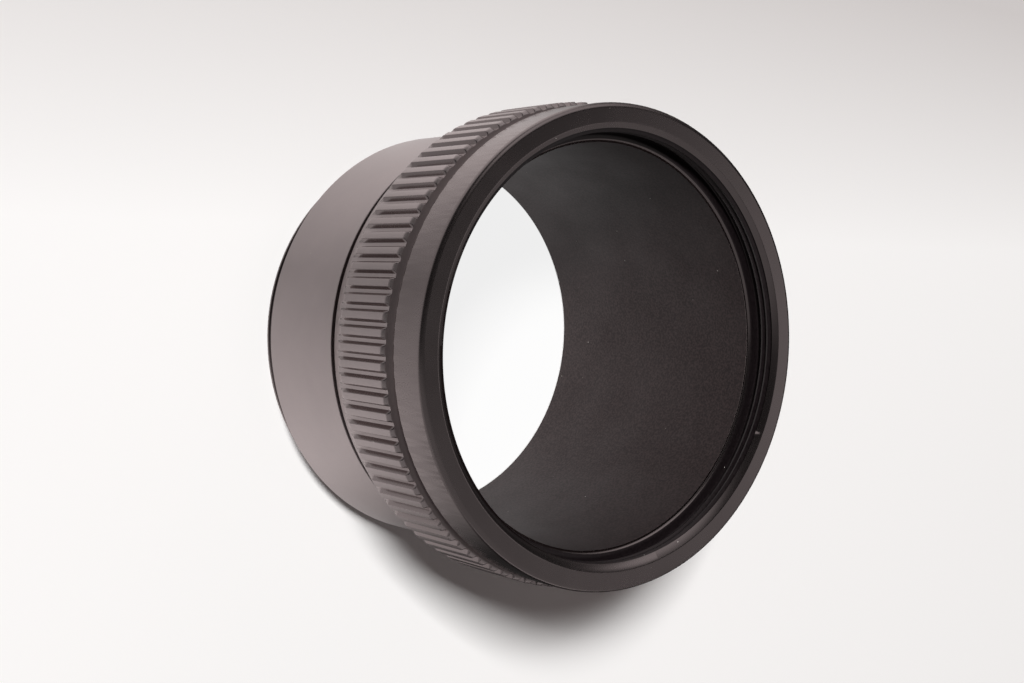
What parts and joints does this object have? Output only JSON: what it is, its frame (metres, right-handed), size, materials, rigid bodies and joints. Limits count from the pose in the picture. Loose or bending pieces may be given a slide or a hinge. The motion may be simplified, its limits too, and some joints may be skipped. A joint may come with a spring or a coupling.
{
  "type": "step-down ring",
  "caption": "Short stepped tube that joins a lens accessory to a camera: wide knurled end with a threaded socket, narrow end with a threaded spigot.",
  "frame": {"origin": "middle of the narrow threaded end, on the surface that the ring stands on", "axes": "+Z along the optical axis, from the narrow threaded end towards the wide knurled end; a knurl slot lies on +X"},
  "size_m": [0.0486, 0.0486, 0.0342],
  "materials": {
    "ring": "satin black anodised"
  },
  "bodies": {
    "root": {"step_down_ring": "ring"}
  },
  "joints": []
}
